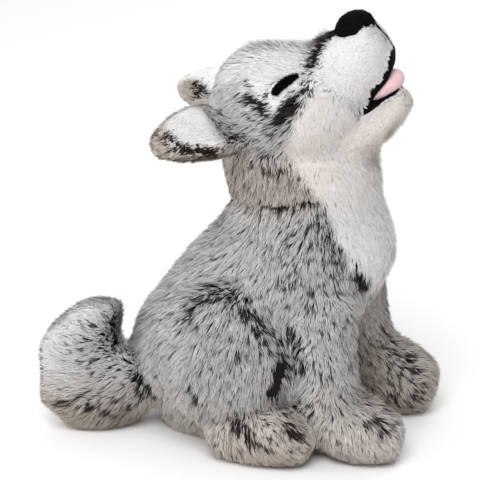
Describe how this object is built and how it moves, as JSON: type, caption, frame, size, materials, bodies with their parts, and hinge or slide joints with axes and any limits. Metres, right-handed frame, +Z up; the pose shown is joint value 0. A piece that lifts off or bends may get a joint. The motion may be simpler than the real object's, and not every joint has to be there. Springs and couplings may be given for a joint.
{
  "type": "plush wolf",
  "caption": "Sitting plush wolf with its head thrown back and mouth open in a howl, grey frosted pile with a white face, throat and chest",
  "frame": {"origin": "middle of the bounding box on the plane that the toy sits on", "axes": "+X is the way the toy faces, +Y is its left side, +Z is up"},
  "size_m": [0.2592, 0.16, 0.2939],
  "materials": {
    "grey_frosted_pile": "long pile, dark at the root and pale grey at the tip",
    "short_white_pile": "short dense pile, cool white",
    "long_white_pile": "longer soft pile, slightly warm white",
    "black_velour": "black velour and felt",
    "pink_felt": "dusty pink felt"
  },
  "bodies": {
    "root": {"torso": "grey_frosted_pile", "neck": "grey_frosted_pile", "skull": "grey_frosted_pile", "nose_bridge": "grey_frosted_pile", "ear_right": "grey_frosted_pile", "ear_left": "grey_frosted_pile", "front_leg_right": "grey_frosted_pile", "front_leg_left": "grey_frosted_pile", "haunch_right": "grey_frosted_pile", "haunch_left": "grey_frosted_pile", "hind_foot_right": "grey_frosted_pile", "hind_foot_left": "grey_frosted_pile", "tail": "grey_frosted_pile", "cheek_ruff": "long_white_pile", "muzzle": "short_white_pile", "lower_jaw": "short_white_pile", "chest_bib": "long_white_pile", "eye_patch_right": "short_white_pile", "eye_patch_left": "short_white_pile", "ear_lining_right": "short_white_pile", "ear_lining_left": "short_white_pile", "nose": "black_velour", "philtrum": "black_velour", "mouth_lining": "black_velour", "eye_right": "black_velour", "eye_left": "black_velour", "tongue": "pink_felt"}
  },
  "joints": []
}
